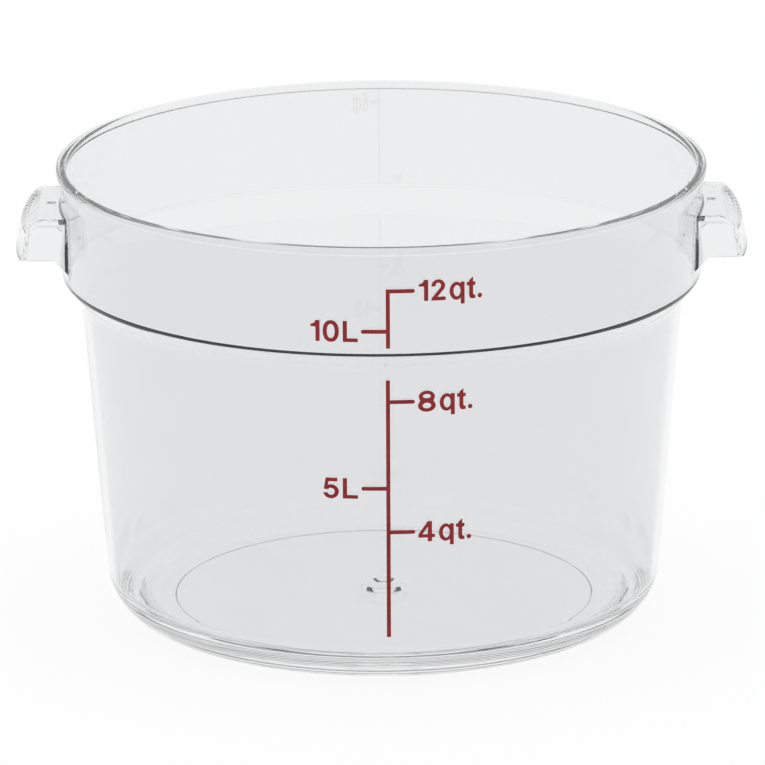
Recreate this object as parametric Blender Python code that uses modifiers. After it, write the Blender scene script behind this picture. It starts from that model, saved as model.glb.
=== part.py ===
"""Clear round food storage container with two side handles and a printed volume scale.

One Blender unit is one metre and +Z is up. The container stands on z = 0 with its axis on Z.
The handles point along -X and +X, and the printed scale faces -Y.
"""

import math

import bmesh
import bpy
import numpy as np
from mathutils import Matrix, Vector

MM = 0.001

# Container heights: the whole height, and what hangs down from the rim
HEIGHT = 221.8 * MM
BEAD_HEIGHT = 3.8 * MM
COLLAR_HEIGHT = 52.8 * MM
SHOULDER_DROP = 10.4 * MM
FLOOR_TOP_Z = 10.4 * MM
CORNER_RISE = 6.1 * MM
RECESS_DEPTH = 0.8 * MM
LEDGE_RISE = 1.1 * MM
LEDGE_DROP = 10.3 * MM
SHOULDER_TOP_Z = HEIGHT - COLLAR_HEIGHT
SHOULDER_FOOT_Z = SHOULDER_TOP_Z - SHOULDER_DROP
CORNER_Z = FLOOR_TOP_Z + CORNER_RISE
LEDGE_ROOT_Z = SHOULDER_TOP_Z + LEDGE_RISE
LEDGE_EDGE_Z = LEDGE_ROOT_Z - LEDGE_DROP

# Container radii, from its axis to the outside, each step counted from the wall below it
BODY_BASE_RADIUS = 130.8 * MM
BODY_SPREAD = 12.9 * MM
SHOULDER_STEP = 8.8 * MM
COLLAR_SPREAD = 0.7 * MM
BEAD_REACH = 1.9 * MM
FLOOR_INSET = 12.8 * MM
RECESS_INSET = 30.3 * MM
BODY_TOP_RADIUS = BODY_BASE_RADIUS + BODY_SPREAD
COLLAR_FOOT_RADIUS = BODY_TOP_RADIUS + SHOULDER_STEP
COLLAR_TOP_RADIUS = COLLAR_FOOT_RADIUS + COLLAR_SPREAD
RIM_RADIUS = COLLAR_TOP_RADIUS + BEAD_REACH
FLOOR_RADIUS = BODY_BASE_RADIUS - FLOOR_INSET
RECESS_RADIUS = BODY_BASE_RADIUS - RECESS_INSET
BUTTON_RADIUS = 11.6 * MM
BUTTON_CREST_RADIUS = 9.2 * MM
BUTTON_FLAT_RADIUS = 6.5 * MM
BUTTON_RISE = 1.3 * MM

# Wall thickness and draft
WALL_THICKNESS = 3.1 * MM
RECESS_DRAFT = 0.6 * MM

# Fillets of the container's outline
RIM_FILLET = 1.2 * MM
BEAD_FILLET = 0.9 * MM
BEAD_ROOT_FILLET = 0.6 * MM
RIM_INNER_FILLET = 2.0 * MM
SHOULDER_TOP_FILLET = 4.5 * MM
SHOULDER_FOOT_FILLET = 14.0 * MM
LEDGE_FILLET = 1.5 * MM
LEDGE_EDGE_FILLET = 17.0 * MM
BASE_FILLET = 26.0 * MM
CORNER_FILLET = 12.0 * MM
FLOOR_EDGE_FILLET = 1.0 * MM
RECESS_FILLET = 0.3 * MM
BUTTON_FLAT_FILLET = 1.5 * MM
BUTTON_CREST_FILLET = 1.2 * MM
BUTTON_FOOT_FILLET = 0.5 * MM

# Handle hoods, hung from the rim and reaching out from the collar
HANDLE_DROP = 19.2 * MM
HOOD_DEPTH = 20.1 * MM
GUSSET_DROP = 6.5 * MM
HANDLE_REACH = 22.1 * MM
GUSSET_REACH = 6.5 * MM
DIMPLE_REACH = 5.0 * MM
HANDLE_TOP_Z = HEIGHT - HANDLE_DROP
HANDLE_LIP_Z = HANDLE_TOP_Z - HOOD_DEPTH
HANDLE_ROOT_Z = HANDLE_LIP_Z - GUSSET_DROP
HANDLE_OUTER_RADIUS = COLLAR_FOOT_RADIUS + HANDLE_REACH
GUSSET_RADIUS = COLLAR_FOOT_RADIUS + GUSSET_REACH
DIMPLE_RADIUS = COLLAR_FOOT_RADIUS + DIMPLE_REACH
HANDLE_DRAFT = 4.0 * MM
HANDLE_HALF_WIDTH = 31.0 * MM
HANDLE_CORNER = 11.0 * MM
HANDLE_TOP_FILLET = 8.8 * MM
HANDLE_THICKNESS = 2.7 * MM
FLARE_LOW = 9.0 * MM
FLARE_MIDDLE = 4.5 * MM
FLARE_TOP = 1.5 * MM
FLARE_LOW_DROP = 16.6 * MM
FLARE_MIDDLE_DROP = 9.6 * MM
FLARE_END = math.radians(25.0)
DIMPLE_BALL = 5.5 * MM
DIMPLE_DEPTH = 0.6 * MM

# Printed scale: upper marks as shares of the collar down from the rim, lower ones of the body's height
SCALE_TURN = math.radians(1.0)
INK_WIDTH = 1.9 * MM
INK_THICKNESS = 0.3 * MM
TICK_REACH = 12.6 * MM
LOWER_INK_DROP = 3.6 * MM
SHARE_12_QT = 0.400
SHARE_10_L = 0.769
SHARE_UPPER_INK = 0.924
SHARE_8_QT = 0.909
SHARE_5_L = 0.639
SHARE_4_QT = 0.506
SHARE_INK_FOOT = 0.167
UPPER_INK_FOOT_Z = HEIGHT - SHARE_UPPER_INK * COLLAR_HEIGHT
LOWER_INK_TOP_Z = SHOULDER_FOOT_Z - LOWER_INK_DROP
LOWER_INK_FOOT_Z = SHARE_INK_FOOT * SHOULDER_FOOT_Z
MARK_12_QT_Z = HEIGHT - SHARE_12_QT * COLLAR_HEIGHT
MARK_10_L_Z = HEIGHT - SHARE_10_L * COLLAR_HEIGHT
MARK_8_QT_Z = SHARE_8_QT * SHOULDER_FOOT_Z
MARK_5_L_Z = SHARE_5_L * SHOULDER_FOOT_Z
MARK_4_QT_Z = SHARE_4_QT * SHOULDER_FOOT_Z

# Gap left between neighbouring pieces, and how far a cutter runs past what it cuts
SEAT_GAP = 0.3 * MM
CUT_MARGIN = 12.0 * MM

# Plain finishes, as linear red, green and blue
CLEAR_COLOUR = (0.86, 0.87, 0.88)
CLEAR_ROUGHNESS = 0.06
CLEAR_ALPHA = 0.3
INK_COLOUR = (0.33, 0.03, 0.04)
INK_ROUGHNESS = 0.45
PLASTIC_IOR = 1.585

# Mesh fineness
TURN_STEPS = 80
ARC_STEPS = 3
EDGE_STEPS = 2
BASE_ARC_STEPS = 9
TICK_STEPS = 4
TICK_END_STEPS = 6
PLAN_STEPS = 3
PLAN_CORNER_STEPS = 5
BALL_SEGMENTS = 16
BALL_RINGS = 12
BALL_TURN = 0.1
MERGE_DISTANCE = 0.01 * MM
SMOOTH_ANGLE = math.radians(28.0)

LEFT, RIGHT = -1, 1


def clear_scene():
    """Remove whatever the startup scene holds."""
    for obj in list(bpy.data.objects):
        bpy.data.objects.remove(obj, do_unlink=True)


def new_collection(name, is_helper):
    """Make a collection, kept out of the render when it holds cutters."""
    collection = bpy.data.collections.new(name)
    collection.hide_render = is_helper
    bpy.context.scene.collection.children.link(collection)
    return collection


def principled(name, colour, roughness, alpha):
    """One plain plastic material."""
    material = bpy.data.materials.new(name)
    material.use_nodes = True
    shader = material.node_tree.nodes["Principled BSDF"]
    shader.inputs["Base Color"].default_value = (*colour, 1.0)
    shader.inputs["Roughness"].default_value = roughness
    shader.inputs["IOR"].default_value = PLASTIC_IOR
    shader.inputs["Alpha"].default_value = alpha
    material.diffuse_color = (*colour, alpha)
    return material


def add_object(name, mesh, collection, material=None):
    """Link a mesh into a collection as a named object."""
    obj = bpy.data.objects.new(name, mesh)
    if material:
        mesh.materials.append(material)
    collection.objects.link(obj)
    return obj


def as_cutter(obj):
    """Show a helper as wire, and keep it out of the render."""
    obj.hide_render = True
    obj.display_type = "WIRE"
    return obj


def mesh_from(name, points, edges, faces):
    """Build a mesh from plain lists."""
    mesh = bpy.data.meshes.new(name)
    mesh.from_pydata([tuple(point) for point in points], edges, faces)
    mesh.update()
    return mesh


def line_at(low, high, z):
    """Radius at height z of the straight line through two (radius, z) points."""
    share = (z - low[1]) / (high[1] - low[1])
    return low[0] + share * (high[0] - low[0])


def offset_line(start, end, distance):
    """Move a line to its left by a distance."""
    start, end = np.array(start), np.array(end)
    along = (end - start) / np.linalg.norm(end - start)
    left = np.array([-along[1], along[0]])
    return start + distance * left, end + distance * left


def fillet(before, corner, after, radius, steps):
    """Points of the arc that rounds one corner, touching both its sides."""
    before, corner, after = (Vector(point) for point in (before, corner, after))
    back = (before - corner).normalized()
    ahead = (after - corner).normalized()
    half = back.angle(ahead) / 2
    reach = radius / math.tan(half)
    middle = corner + (back + ahead).normalized() * (radius / math.sin(half))
    first = corner + back * reach - middle
    last = corner + ahead * reach - middle
    turn = first.angle_signed(last)
    return [
        tuple(middle + Matrix.Rotation(-turn * step / steps, 2) @ first)
        for step in range(steps + 1)
    ]


def rounded(corners, is_loop=False):
    """Round each (point, fillet, steps) corner of an outline; a fillet of zero stays sharp."""
    points = []
    count = len(corners)
    for index, (corner, radius, steps) in enumerate(corners):
        is_end = index in (0, count - 1) and not is_loop
        if not radius or is_end:
            points.append(tuple(corner))
            continue
        before = corners[index - 1][0]
        after = corners[(index + 1) % count][0]
        points.extend(fillet(before, corner, after, radius, steps))
    return points


def button_corners():
    """Button at the middle of the floor: a flat centre inside a low round ridge."""
    return [
        ((0.0, FLOOR_TOP_Z), 0.0, 0),
        ((BUTTON_FLAT_RADIUS, FLOOR_TOP_Z), BUTTON_FLAT_FILLET, EDGE_STEPS),
        ((BUTTON_CREST_RADIUS, FLOOR_TOP_Z + BUTTON_RISE), BUTTON_CREST_FILLET, ARC_STEPS),
        ((BUTTON_RADIUS, FLOOR_TOP_Z), BUTTON_FOOT_FILLET, EDGE_STEPS),
    ]


def outside_corners():
    """Straight-line corners of the outside of the tub, from the foot up to the bead."""
    return {
        "base": (BODY_BASE_RADIUS, 0.0),
        "shoulder_foot": (BODY_TOP_RADIUS, SHOULDER_FOOT_Z),
        "shoulder_top": (COLLAR_FOOT_RADIUS, SHOULDER_TOP_Z),
        "collar_top": (COLLAR_TOP_RADIUS, HEIGHT - BEAD_HEIGHT),
    }


def inside_outline():
    """Inside of the tub: centre button, flat floor, sloped corner, wall, ledge and collar."""
    out = outside_corners()
    base, low = out["base"], out["shoulder_foot"]
    high, top = out["shoulder_top"], out["collar_top"]
    wall = offset_line(base, low, WALL_THICKNESS)
    collar = offset_line(high, top, WALL_THICKNESS)
    corner = (line_at(*wall, CORNER_Z), CORNER_Z)
    ledge_edge = (line_at(*wall, LEDGE_EDGE_Z), LEDGE_EDGE_Z)
    ledge_root = (line_at(*collar, LEDGE_ROOT_Z), LEDGE_ROOT_Z)
    rim_inside = (line_at(*collar, HEIGHT), HEIGHT)
    corners = button_corners()
    corners.append(((FLOOR_RADIUS, FLOOR_TOP_Z), FLOOR_EDGE_FILLET, EDGE_STEPS))
    corners.append((corner, CORNER_FILLET, 2 * ARC_STEPS))
    corners.append((ledge_edge, LEDGE_EDGE_FILLET, ARC_STEPS))
    corners.append((ledge_root, LEDGE_FILLET, ARC_STEPS))
    corners.append((rim_inside, RIM_INNER_FILLET, EDGE_STEPS))
    return corners


def outside_outline():
    """Outside of the tub: bead, collar, shoulder, wall, foot and the recess inside the foot."""
    out = outside_corners()
    bead_z = HEIGHT - BEAD_HEIGHT
    corners = [((RIM_RADIUS, HEIGHT), RIM_FILLET, ARC_STEPS)]
    corners.append(((RIM_RADIUS, bead_z), BEAD_FILLET, EDGE_STEPS))
    corners.append((out["collar_top"], BEAD_ROOT_FILLET, EDGE_STEPS))
    corners.append((out["shoulder_top"], SHOULDER_TOP_FILLET, ARC_STEPS))
    corners.append((out["shoulder_foot"], SHOULDER_FOOT_FILLET, ARC_STEPS))
    corners.append((out["base"], BASE_FILLET, BASE_ARC_STEPS))
    corners.append(((RECESS_RADIUS, 0.0), RECESS_FILLET, EDGE_STEPS))
    corners.append(((RECESS_RADIUS - RECESS_DRAFT, RECESS_DEPTH), RECESS_FILLET, EDGE_STEPS))
    corners.append(((0.0, RECESS_DEPTH), 0.0, 0))
    return corners


def turned(name, outline, collection, is_loop, material=None):
    """Turn an outline of (radius, z) points around the Z axis."""
    points = [(radius, 0.0, z) for radius, z in outline]
    edges = [(index, index + 1) for index in range(len(points) - 1)]
    if is_loop:
        edges.append((len(points) - 1, 0))
    obj = add_object(name, mesh_from(name, points, edges, []), collection, material)
    screw = obj.modifiers.new("turn", "SCREW")
    screw.axis = "Z"
    screw.steps = TURN_STEPS
    screw.render_steps = TURN_STEPS
    screw.use_merge_vertices = True
    screw.merge_threshold = MERGE_DISTANCE
    screw.use_smooth_shade = True
    return obj


def loft(name, loops, collection):
    """Close a solid over stacked loops of points, the lowest first."""
    count = len(loops[0])
    points = [point for loop in loops for point in loop]
    faces = [tuple(reversed(range(count)))]
    for level in range(len(loops) - 1):
        low, high = level * count, (level + 1) * count
        for side in range(count):
            after = (side + 1) % count
            faces.append((low + side, low + after, high + after, high + side))
    faces.append(tuple(range(len(points) - count, len(points))))
    return add_object(name, mesh_from(name, points, [], faces), collection)


def boolean(obj, cutter, operation):
    """Add one exact Boolean."""
    modifier = obj.modifiers.new(cutter.name, "BOOLEAN")
    modifier.operation = operation
    modifier.solver = "EXACT"
    modifier.object = cutter


def settle(obj):
    """Swap an object's modifiers for the mesh they make, smooth except at its corners."""
    graph = bpy.context.evaluated_depsgraph_get()
    mesh = bpy.data.meshes.new_from_object(obj.evaluated_get(graph))
    mesh.name = obj.name
    obj.modifiers.clear()
    obj.data = mesh
    mesh.polygons.foreach_set("use_smooth", [True] * len(mesh.polygons))
    mesh.set_sharp_from_angle(angle=SMOOTH_ANGLE)
    return obj


def build_tub(collection, material):
    """Tub with its bead, collar, shoulder, wall, foot and floor, turned in one piece."""
    outline = rounded(inside_outline() + outside_outline(), is_loop=False)
    return settle(turned("container_body", outline, collection, False, material))


def collar_radius(z):
    """Outside radius of the collar at height z."""
    out = outside_corners()
    return line_at(out["shoulder_top"], out["collar_top"], z)


def body_radius(z):
    """Outside radius of the body wall at height z."""
    out = outside_corners()
    return line_at(out["base"], out["shoulder_foot"], z)


def hood_outline():
    """Cross-section of the hood: its plate, rounded outer end, lip and sloping gusset foot."""
    root_top = (collar_radius(HANDLE_TOP_Z) + SEAT_GAP, HANDLE_TOP_Z)
    root_foot = (collar_radius(HANDLE_ROOT_Z) + SEAT_GAP, HANDLE_ROOT_Z)
    shoulder = (HANDLE_OUTER_RADIUS - HANDLE_DRAFT, HANDLE_TOP_Z)
    lip = (HANDLE_OUTER_RADIUS, HANDLE_LIP_Z)
    gusset = (GUSSET_RADIUS, HANDLE_LIP_Z)
    corners = [(root_top, 0.0, 0)]
    corners.append((shoulder, HANDLE_TOP_FILLET, 2 * ARC_STEPS))
    corners.append((lip, 0.0, 0))
    corners.append((gusset, 0.0, 0))
    corners.append((root_foot, 0.0, 0))
    return rounded(corners, is_loop=True)


def hollow_outline():
    """Cross-section of the finger space under the hood, running out past its root and foot."""
    top_z = HANDLE_TOP_Z - HANDLE_THICKNESS
    low_z = HANDLE_ROOT_Z - CUT_MARGIN
    root = COLLAR_FOOT_RADIUS - CUT_MARGIN
    shoulder_radius = HANDLE_OUTER_RADIUS - HANDLE_DRAFT - HANDLE_THICKNESS
    slope = HANDLE_DRAFT / (HANDLE_TOP_Z - HANDLE_LIP_Z)
    foot_radius = shoulder_radius + slope * (top_z - low_z)
    corners = [((root, top_z), 0.0, 0)]
    inner_fillet = HANDLE_TOP_FILLET - HANDLE_THICKNESS
    corners.append(((shoulder_radius, top_z), inner_fillet, 2 * ARC_STEPS))
    corners.append(((foot_radius, low_z), 0.0, 0))
    corners.append(((root, low_z), 0.0, 0))
    return rounded(corners, is_loop=True)


def arc(centre, radius, start, end, steps):
    """Points along one arc in plan, both ends included."""
    angles = np.linspace(start, end, steps + 1)
    return [
        (centre[0] + radius * math.cos(a), centre[1] + radius * math.sin(a))
        for a in angles
    ]


def plan_half(half_width, corner, outer_radius, root, flare):
    """Half of a handle's outline in plan, from its outer middle round to its root."""
    reach = outer_radius - corner
    corner_centre = (
        math.sqrt(reach**2 - (half_width - corner) ** 2),
        half_width - corner,
    )
    touch = math.atan2(corner_centre[1], corner_centre[0])
    points = arc((0.0, 0.0), outer_radius, 0.0, touch, PLAN_STEPS)[:-1]
    points += arc(corner_centre, corner, touch, math.pi / 2, PLAN_CORNER_STEPS)
    if flare:
        reach = COLLAR_FOOT_RADIUS + SEAT_GAP + flare
        centre_y = half_width + flare
        centre_x = math.sqrt(reach**2 - centre_y**2)
        end = math.pi + math.atan2(centre_y, centre_x) + FLARE_END
        points += arc((centre_x, centre_y), flare, 1.5 * math.pi, end, PLAN_CORNER_STEPS)
    end_y = points[-1][1]
    points.append((root, end_y))
    return points


def plan_loop(side, z, half_width, corner, outer_radius, root, flare):
    """Whole outline of a handle in plan at height z, on the left or right side of the tub."""
    half = plan_half(half_width, corner, outer_radius, root, flare)
    mirror = [(x, -y) for x, y in half[1:]]
    loop = list(reversed(mirror)) + half
    return [(side * x, side * y, z) for x, y in loop]


def dimple_ball(side, collection):
    """Ball that presses the small mark into the top of a handle's plate."""
    mesh = bpy.data.meshes.new("dimple_ball")
    shape = bmesh.new()
    bmesh.ops.create_uvsphere(
        shape, u_segments=BALL_SEGMENTS, v_segments=BALL_RINGS, radius=DIMPLE_BALL
    )
    turn = Matrix.Rotation(BALL_TURN, 3, "Z")
    bmesh.ops.rotate(shape, verts=shape.verts, cent=(0, 0, 0), matrix=turn)
    shape.to_mesh(mesh)
    shape.free()
    ball = add_object("dimple_ball", mesh, collection)
    centre_z = HANDLE_TOP_Z + DIMPLE_BALL - DIMPLE_DEPTH
    ball.location = (side * DIMPLE_RADIUS, 0.0, centre_z)
    return as_cutter(ball)


def build_handle(name, side, collection, cutters, material):
    """One hood-shaped handle: a plate turned down at its end, with flared webs at its sides."""
    root = COLLAR_FOOT_RADIUS - CUT_MARGIN
    low_z, high_z = HANDLE_ROOT_Z - CUT_MARGIN, HANDLE_TOP_Z + CUT_MARGIN
    outer = HANDLE_OUTER_RADIUS + SEAT_GAP
    blank = turned(name, hood_outline(), collection, True, material)
    flares = [
        (low_z, FLARE_LOW),
        (HANDLE_TOP_Z - FLARE_LOW_DROP, FLARE_LOW),
        (HANDLE_TOP_Z - FLARE_MIDDLE_DROP, FLARE_MIDDLE),
        (HANDLE_TOP_Z, FLARE_TOP),
        (high_z, FLARE_TOP),
    ]
    loops = [
        plan_loop(side, z, HANDLE_HALF_WIDTH, HANDLE_CORNER, outer, root, flare)
        for z, flare in flares
    ]
    plan = loft(name + "_plan", loops, cutters)
    inner_width = HANDLE_HALF_WIDTH - HANDLE_THICKNESS
    inner_corner_radius = HANDLE_CORNER - HANDLE_THICKNESS
    reach = outer - HANDLE_THICKNESS
    start = root - CUT_MARGIN
    hollow_plan = loft(
        name + "_hollow_plan",
        [
            plan_loop(side, low_z - CUT_MARGIN, inner_width, inner_corner_radius, reach, start, 0.0),
            plan_loop(side, high_z, inner_width, inner_corner_radius, reach, start, 0.0),
        ],
        cutters,
    )
    hollow = turned(name + "_hollow", hollow_outline(), cutters, True)
    boolean(hollow, hollow_plan, "INTERSECT")
    boolean(blank, plan, "INTERSECT")
    boolean(blank, hollow, "DIFFERENCE")
    boolean(blank, dimple_ball(side, cutters), "DIFFERENCE")
    for cutter in (plan, hollow_plan, hollow):
        as_cutter(cutter)
    return settle(blank)


def ink_cells(levels, ticks):
    """Flat cells of a printed line with its ticks, as (across, z) outlines that share corners."""
    half = INK_WIDTH / 2
    cells = []
    for low, high in zip(levels, levels[1:]):
        cells.append([(-half, low), (half, low), (half, high), (-half, high)])
    for side, z in ticks:
        inner = [half + (TICK_REACH - 2 * half) * step / TICK_STEPS for step in range(TICK_STEPS + 1)]
        for near, far in zip(inner, inner[1:]):
            cell = [(near, z - half), (far, z - half), (far, z + half), (near, z + half)]
            cells.append([(side * x, y) for x, y in cell][::side])
        end = inner[-1]
        angles = np.linspace(-math.pi / 2, math.pi / 2, TICK_END_STEPS + 1)
        tip = [(side * (end + half * math.cos(a)), z + half * math.sin(a)) for a in angles]
        cells.append(tip[::side])
    return cells


def build_ink(name, levels, ticks, radius_at, collection, material):
    """A printed line and its ticks, wrapped round the wall just clear of it."""
    shape = bmesh.new()
    for cell in ink_cells(levels, ticks):
        corners = []
        for across, z in cell:
            radius = radius_at(z) + SEAT_GAP
            angle = SCALE_TURN + across / radius
            corners.append(shape.verts.new((radius * math.sin(angle), -radius * math.cos(angle), z)))
        shape.faces.new(corners)
    bmesh.ops.remove_doubles(shape, verts=shape.verts, dist=MERGE_DISTANCE)
    mesh = bpy.data.meshes.new(name)
    shape.to_mesh(mesh)
    shape.free()
    obj = add_object(name, mesh, collection, material)
    skin = obj.modifiers.new("ink_thickness", "SOLIDIFY")
    skin.thickness = INK_THICKNESS
    skin.offset = 1.0
    return settle(obj)


def scale_levels(foot_z, top_z, marks):
    """Heights at which a printed line is cut so that its ticks can join on."""
    half = INK_WIDTH / 2
    levels = {foot_z, top_z}
    for mark in marks:
        levels |= {mark - half, mark + half}
    return sorted(levels)


def build_scales(collection, material):
    """The printed scale: one line with its ticks on the collar and one on the body."""
    upper_top = MARK_12_QT_Z + INK_WIDTH / 2
    upper = scale_levels(UPPER_INK_FOOT_Z, upper_top, [MARK_12_QT_Z, MARK_10_L_Z])
    ticks = [(RIGHT, MARK_12_QT_Z), (LEFT, MARK_10_L_Z)]
    build_ink("scale_upper", upper, ticks, collar_radius, collection, material)
    marks = [MARK_8_QT_Z, MARK_5_L_Z, MARK_4_QT_Z]
    lower = scale_levels(LOWER_INK_FOOT_Z, LOWER_INK_TOP_Z, marks)
    ticks = [(RIGHT, MARK_8_QT_Z), (LEFT, MARK_5_L_Z), (RIGHT, MARK_4_QT_Z)]
    build_ink("scale_lower", lower, ticks, body_radius, collection, material.copy())


def main():
    """Build the whole container."""
    clear_scene()
    parts = new_collection("food_storage_container", is_helper=False)
    cutters = new_collection("cutters", is_helper=True)
    clear = principled("clear_plastic", CLEAR_COLOUR, CLEAR_ROUGHNESS, CLEAR_ALPHA)
    ink = principled("red_ink", INK_COLOUR, INK_ROUGHNESS, 1.0)
    build_tub(parts, clear)
    build_handle("handle_left", LEFT, parts, cutters, clear.copy())
    build_handle("handle_right", RIGHT, parts, cutters, clear.copy())
    build_scales(parts, ink)


if __name__ == "__main__":
    main()
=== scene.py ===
"""Looks of the clear round food storage container: its clear moulding, printed scale and studio.

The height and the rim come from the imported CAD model, and most other sizes are the same as its own.
Some fillets, the floor's button and the handles' outline in plan are set here for the look. The
moulding is one fused piece, as on the real tub, so that no seam shows at the handles.
"""

from __future__ import annotations

import logging
import math
from dataclasses import dataclass, field
from enum import Enum
from typing import Callable, Sequence, Union

import bmesh
import bpy
import numpy as np
from mathutils import Matrix, Vector
from mathutils.geometry import tessellate_polygon


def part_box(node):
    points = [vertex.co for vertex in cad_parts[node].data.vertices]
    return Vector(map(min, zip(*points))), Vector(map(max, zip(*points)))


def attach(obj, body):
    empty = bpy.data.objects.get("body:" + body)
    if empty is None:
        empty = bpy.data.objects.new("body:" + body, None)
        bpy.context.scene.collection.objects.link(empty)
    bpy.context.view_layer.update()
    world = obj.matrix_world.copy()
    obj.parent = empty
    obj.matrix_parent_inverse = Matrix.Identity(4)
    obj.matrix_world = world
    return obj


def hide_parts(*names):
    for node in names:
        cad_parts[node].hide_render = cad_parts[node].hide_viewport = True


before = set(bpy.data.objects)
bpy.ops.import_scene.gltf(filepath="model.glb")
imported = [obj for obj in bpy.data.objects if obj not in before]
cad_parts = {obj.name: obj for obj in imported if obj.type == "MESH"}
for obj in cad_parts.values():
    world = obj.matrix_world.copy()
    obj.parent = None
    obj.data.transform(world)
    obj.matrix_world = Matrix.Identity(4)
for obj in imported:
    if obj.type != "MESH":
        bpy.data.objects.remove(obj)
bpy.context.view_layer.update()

log = logging.getLogger("container")

MM = 0.001
IMAGE_SIZE = 765
TINY = 0.01 * MM
WHITE = (1.0, 1.0, 1.0)

# Degrees between the points of a fillet whose radius is above the first number.
ARC_SPACINGS = ((10 * MM, 1.2), (5 * MM, 6.0), (2 * MM, 3.0), (0.0, 8.0))
LEAST_ARC_STEPS = 3

# A straight run is long when it is this many times the distance of the points that brace it.
LONG_RUN = 6

Point = tuple[float, float]
Corner = tuple[Point, float]
Number = Union[float, "Value"]
Outline = list[Point]
Place = tuple[float, float, float]
Triangle = tuple[int, int, int]
Colour = tuple[float, float, float]


class Side(Enum):
    """The side of the tub that a handle is on."""

    LEFT = -1
    RIGHT = 1


class Unit(Enum):
    """The unit printed beside a mark, with the side of the line that its tick is on."""

    QUARTS = ("qt.", 1)
    LITRES = ("L", -1)

    @property
    def text(self) -> str:
        """Letters printed after the number."""
        return self.value[0]

    @property
    def direction(self) -> int:
        """1 where the tick and label stand to the right of the line, -1 to the left."""
        return self.value[1]


class Rays(Enum):
    """Kinds of ray that are shown the white background."""

    CAMERA = "Is Camera Ray"
    GLOSSY = "Is Glossy Ray"
    TRANSMISSION = "Is Transmission Ray"


@dataclass
class Value:
    """A shader socket that takes part in Python expressions."""

    graph: "Graph"
    socket: bpy.types.NodeSocket

    def _math(self, operation: str, first: Number, second: Number) -> "Value":
        """Add one Math node."""
        return self.graph.node("ShaderNodeMath", {"operation": operation}, {0: first, 1: second})

    def __add__(self, other: Number) -> "Value":
        """Sum of two values."""
        return self._math("ADD", self, other)

    __radd__ = __add__

    def __mul__(self, other: Number) -> "Value":
        """Product of two values."""
        return self._math("MULTIPLY", self, other)

    __rmul__ = __mul__


@dataclass
class Graph:
    """A node tree under construction."""

    tree: bpy.types.NodeTree

    def node(
        self,
        kind: str,
        settings: dict[str, object] | None = None,
        inputs: dict[str | int, object] | None = None,
        output: str | int = 0,
    ) -> Value:
        """Add a node.

        Args:
            kind: The node's type.
            settings: Properties of the node, set before its sockets.
            inputs: Values or links of its sockets, by name or number.
            output: The socket to return.

        Returns:
            The chosen output, ready for an expression.
        """
        made = self.tree.nodes.new(kind)
        for name, setting in (settings or {}).items():
            setattr(made, name, setting)
        self.feed(made, inputs or {})
        return Value(self, made.outputs[output])

    def feed(self, node: bpy.types.Node, inputs: dict[str | int, object]) -> None:
        """Set or link sockets of a node.

        Args:
            node: The node.
            inputs: Values or links of its sockets, by name or number.
        """
        for name, value in inputs.items():
            if isinstance(value, Value):
                self.tree.links.new(value.socket, node.inputs[name])
            else:
                node.inputs[name].default_value = value

    def ray(self, kind: Rays) -> Value:
        """1 for one kind of ray, 0 for the others."""
        return self.node("ShaderNodeLightPath", output=kind.value)

    def seen(self) -> Value:
        """0 for the rays that light the object, 1 or more for those that show the background."""
        return self.ray(Rays.CAMERA) + self.ray(Rays.TRANSMISSION) + self.ray(Rays.GLOSSY)

    def place(self) -> Value:
        """The point being shaded, in metres."""
        return self.node("ShaderNodeTexCoord", output="Object")

    def noise(self, where: Value, scale: float, detail: float, roughness: float = 0.5) -> Value:
        """Soft noise.

        Args:
            where: The coordinates it is read at.
            scale: Waves per metre.
            detail: Octaves of finer noise.
            roughness: Strength of each octave beside the one before.

        Returns:
            A value around 0.5.
        """
        inputs = {"Vector": where, "Scale": scale, "Detail": detail, "Roughness": roughness}
        return self.node("ShaderNodeTexNoise", {"noise_dimensions": "3D"}, inputs)

    def stretch(self, where: Value, scale: Place) -> Value:
        """Coordinates scaled along each axis."""
        inputs = {"Vector": where, "Scale": scale}
        return self.node("ShaderNodeMapping", {"vector_type": "POINT"}, inputs)

    def mapped(self, value: Number, span: tuple[float, float], out: tuple[float, float]) -> Value:
        """A value moved from one range into another, and held inside it."""
        inputs = {0: value, 1: span[0], 2: span[1], 3: out[0], 4: out[1]}
        return self.node("ShaderNodeMapRange", {"clamp": True}, inputs)

    def tinted(self, share: Number, low: Colour, high: Colour) -> Value:
        """A colour between two colours.

        Args:
            share: 0 for the first colour, 1 for the second.
            low: The first colour, as linear red, green and blue.
            high: The second colour.

        Returns:
            The mixed colour.
        """
        inputs = {0: share, 6: (*low, 1.0), 7: (*high, 1.0)}
        return self.node("ShaderNodeMix", {"data_type": "RGBA"}, inputs, 2)

    def blend(self, share: Number, low: Value, high: Value) -> Value:
        """A shader between two shaders."""
        return self.node("ShaderNodeMixShader", {}, {0: share, 1: low, 2: high})

    def finish(self, surface: Value) -> None:
        """Make a shader the material's surface."""
        output = self.tree.nodes["Material Output"]
        self.tree.links.new(surface.socket, output.inputs["Surface"])

    def bump(self, height: Value, distance: float) -> Value:
        """A bump of a given height in metres."""
        inputs = {"Height": height, "Distance": distance, "Strength": 1.0}
        return self.node("ShaderNodeBump", {}, inputs, "Normal")


def new_material(name: str) -> tuple[bpy.types.Material, Graph, bpy.types.Node]:
    """Start a material.

    Args:
        name: The material's name.

    Returns:
        The material, its graph and its Principled shader.
    """
    material = bpy.data.materials.new(name)
    material.use_nodes = True
    graph = Graph(material.node_tree)
    return material, graph, material.node_tree.nodes["Principled BSDF"]


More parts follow.
